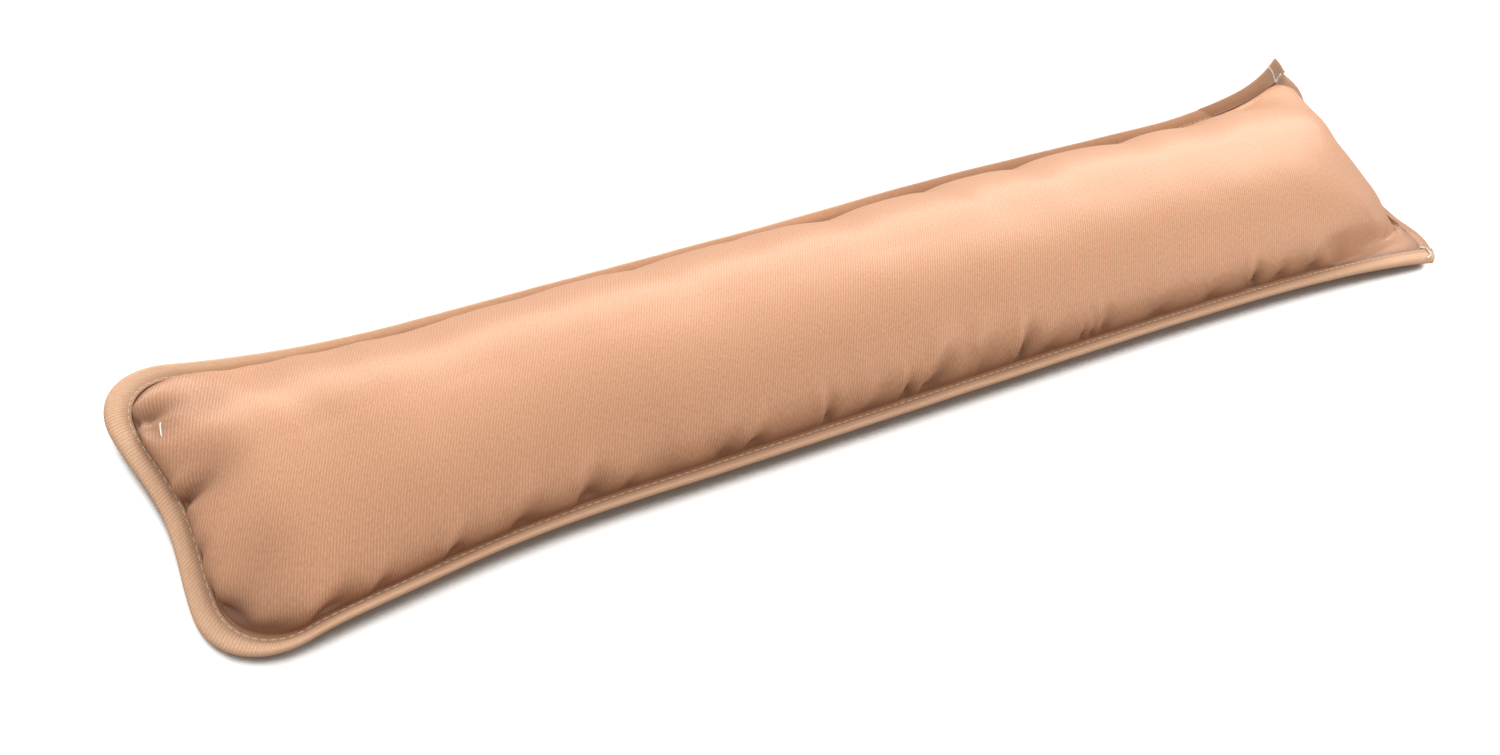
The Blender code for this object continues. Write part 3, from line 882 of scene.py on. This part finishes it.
def walked(path, step, first):
    """Places at even steps along a flat path, from the distance first onwards."""
    wanted = first
    run = 0.0
    for (x0, y0), (x1, y1) in zip(path, path[1:]):
        length = math.dist((x0, y0), (x1, y1))
        while length and run + length >= wanted:
            f = (wanted - run) / length
            yield x0 + (x1 - x0) * f, y0 + (y1 - y0) * f
            wanted += step
        run += length


def stitches(path, height, side, swaying):
    """Points of each lockstitch along a flat path, on the upper (1) or lower (-1) face."""
    step = STITCH_LENGTH / STITCH_PARTS
    places = [list(walked(path, STITCH_PITCH, step * k + FIRST_STITCH))
              for k in range(STITCH_PARTS + 1)]
    for stitch in zip(*places):
        run = []
        for k, (x, y) in enumerate(stitch):
            dip = STITCH_SINK * (2 if k in (0, STITCH_PARTS) else 0)
            level = seam_height(x, y) + tape_sway(x, y) * swaying
            run.append(placed(x, y, level + side * (height + STITCH_PROUD - dip)))
        yield run


def bar_tack(side, corners):
    """A close zigzag of thread over a bent line on the tape at the near (-1) or far (1) tip."""
    run = []
    for (x0, in0), (x1, in1) in zip(corners, corners[1:]):
        length = math.dist((x0, in0), (x1, in1))
        turns = max(round(length / TACK_PITCH), 2)
        over_x = -(in1 - in0) / length * TACK_WIDTH / 2
        over_in = (x1 - x0) / length * TACK_WIDTH / 2
        for k in range(turns + 1):
            swing = 1 if k % 2 else -1
            x = x0 + (x1 - x0) * k / turns + over_x * swing
            inset = max(in0 + (in1 - in0) * k / turns + over_in * swing, TACK_MARGIN)
            y = side * (WIDTH / 2 - inset)
            top = tape_height(inset) if inset < TAPE_WIDTH else PANEL_EDGE / 2
            level = seam_height(x, y) + tape_sway(x, y)
            run.append(placed(x, y, level + top + TACK_PROUD))
    return run


pale_thread = thread_of("pale_thread", THREAD_COLOUR)
white_thread = thread_of("white_thread", WHITE_THREAD_COLOUR)
edge_line = bound_path(STITCH_INSET)
edge_runs = [run for side in (1, -1) for run in stitches(edge_line, TAPE_PINCH, side, 1)]
sewn("edge_stitching", edge_runs, THREAD, pale_thread)
closing_x = LENGTH / 2 - CLOSING_INSET
closing_line = [(closing_x, (WIDTH / 2 - TAPE_WIDTH) * (1 - 2 * i / CLOSING_STEPS))
                for i in range(CLOSING_STEPS + 1)]
closing_runs = [run for side in (1, -1) for run in stitches(closing_line, PANEL_EDGE / 2, side, 0)]
sewn("closing_stitching", closing_runs, THREAD, pale_thread)
sewn("bar_tacks", [bar_tack(side, corners) for side, corners in TACKS], TACK_THREAD, white_thread)

bpy.context.view_layer.update()
hand_run = []
(x0, y0), (x1, y1) = HAND_STITCH
for k in range(HAND_STITCH_PARTS + 1):
    spot = placed(x0 + (x1 - x0) * k / HAND_STITCH_PARTS,
                  y0 + (y1 - y0) * k / HAND_STITCH_PARTS, ABOVE_THE_CUSHION)
    _, place, normal, _ = cushion.ray_cast(spot, Vector((0, 0, -1)))
    inside = k in (0, HAND_STITCH_PARTS)
    hand_run.append(place + normal * (-THREAD if inside else THREAD * 0.5))
sewn("hand_stitch", [hand_run], HAND_THREAD, white_thread)

# The stage: a plain pale floor with a painted glow, one big soft light from behind and above, a
# weak fill from the right, and a white room. The painted glow burns the floor out to white for the
# camera alone, as if overexposed, and is left out where the space beside the floor is closed, so
# it also paints the edge of the floor's shadow.
FLOOR_SIZE = 30
FLOOR_COLOUR = "ADA196"
BURN_REACH = 0.03
SHADOW_LEAN = (-0.60, 0.62, 0.50)
BURN_FROM = 0.38
BURN_TO = 0.48
BURN_GLOW = 0.9
bpy.ops.mesh.primitive_plane_add(size=FLOOR_SIZE, location=(0, 0, 0))
floor = bpy.context.object
floor.name = "glowing_pale_floor"
floor_paint = bpy.data.materials.new("glowing_pale_floor")
floor_paint.use_nodes = True
floor_shader = floor_paint.node_tree.nodes["Principled BSDF"]
floor_shader.inputs["Base Color"].default_value = linear(FLOOR_COLOUR)
floor_shader.inputs["Roughness"].default_value = 0.9
openness = add_node(floor_paint, "ShaderNodeAmbientOcclusion", {"samples": 16},
                    {"Distance": BURN_REACH, "Normal": SHADOW_LEAN})
burnt = add_node(floor_paint, "ShaderNodeMapRange", {"interpolation_type": "SMOOTHSTEP"},
                 {"Value": openness.outputs["AO"], "From Min": BURN_FROM, "From Max": BURN_TO,
                  "To Max": BURN_GLOW})
floor_shader.inputs["Emission Color"].default_value = (1, 1, 1, 1)
seen = add_node(floor_paint, "ShaderNodeLightPath")
# Painted glow, for camera rays only, left out where the floor is closed in.
painted_glow = add_node(floor_paint, "ShaderNodeMath", {"operation": "MULTIPLY"},
                 {0: burnt.outputs["Result"], 1: seen.outputs["Is Camera Ray"]})
floor_paint.node_tree.links.new(painted_glow.outputs["Value"], floor_shader.inputs["Emission Strength"])
floor.data.materials.append(floor_paint)

ROOM_LIGHT = [
    # how far a direction points to the lit side (0 away, 1 towards it), and how bright it is
    (0.22, 0.06),
    (0.40, 0.35),
    (0.55, 0.78),
    (0.90, 1.00),
]
LIT_SIDE = (0.12, 0.50, 0.86)
world = bpy.data.worlds.new("white_room")
bpy.context.scene.world = world
world.use_nodes = True
way = add_node(world, "ShaderNodeTexCoord")
facing = add_node(world, "ShaderNodeVectorMath", {"operation": "DOT_PRODUCT"},
                  {0: way.outputs["Generated"], 1: LIT_SIDE})
share = add_node(world, "ShaderNodeMapRange", {},
                 {"Value": facing.outputs["Value"], "From Min": -1.0})
room = add_node(world, "ShaderNodeValToRGB", {}, {"Fac": share.outputs["Result"]})
for _ in range(len(ROOM_LIGHT) - 2):
    room.color_ramp.elements.new(0.5)
for stop, (position, level) in zip(room.color_ramp.elements, ROOM_LIGHT):
    stop.position = position
    stop.color = (level, level, level, 1.0)
background = world.node_tree.nodes["Background"]
world.node_tree.links.new(room.outputs["Color"], background.inputs["Color"])
SOFT_LIGHTS = [
    # name, place, width and height, watts
    ("back_softbox", (0.7, 1.5, 0.95), (3.2, 1.1), 32),
    ("right_fill", (1.1, -0.7, 0.8), (0.9, 0.9), 3.2),
]


def soft_light(name, place, size, watts):
    """A wide soft light that faces the cushion's middle."""
    lamp = bpy.data.lights.new(name, "AREA")
    lamp.shape = "RECTANGLE"
    lamp.size, lamp.size_y = size
    lamp.energy = watts
    lamp_object = bpy.data.objects.new(name, lamp)
    bpy.context.collection.objects.link(lamp_object)
    lamp_object.location = place
    lamp_object.rotation_euler = (-Vector(place)).to_track_quat("-Z", "Y").to_euler()


for light in SOFT_LIGHTS:
    soft_light(*light)
bpy.context.scene.view_settings.view_transform = "Standard"

# The camera, fitted to the photograph: a 46 mm lens about a metre away, rolled by 17 degrees.
AZIMUTH = math.radians(-42.3)
ELEVATION = math.radians(46.9)
ROLL = math.radians(16.6)
DISTANCE = 1.0367
AIM = Vector((-0.0747, -0.0121, 0.0)) - Vector((CENTRE[0], CENTRE[1], 0.0))
LENS = 45.9
SENSOR_WIDTH = 36
back = Vector((math.sin(AZIMUTH) * math.cos(ELEVATION),
               -math.cos(AZIMUTH) * math.cos(ELEVATION), math.sin(ELEVATION)))
right = Vector((math.cos(AZIMUTH), math.sin(AZIMUTH), 0.0))
up = back.cross(right)
turned_right = right * math.cos(ROLL) + up * math.sin(ROLL)
turned_up = up * math.cos(ROLL) - right * math.sin(ROLL)
lens = bpy.data.cameras.new("camera")
lens.lens = LENS
lens.sensor_width = SENSOR_WIDTH
camera = bpy.data.objects.new("camera", lens)
bpy.context.collection.objects.link(camera)
camera.matrix_world = Matrix.Translation(AIM + back * DISTANCE) @ Matrix(
    (turned_right, turned_up, back)).transposed().to_4x4()
bpy.context.scene.camera = camera
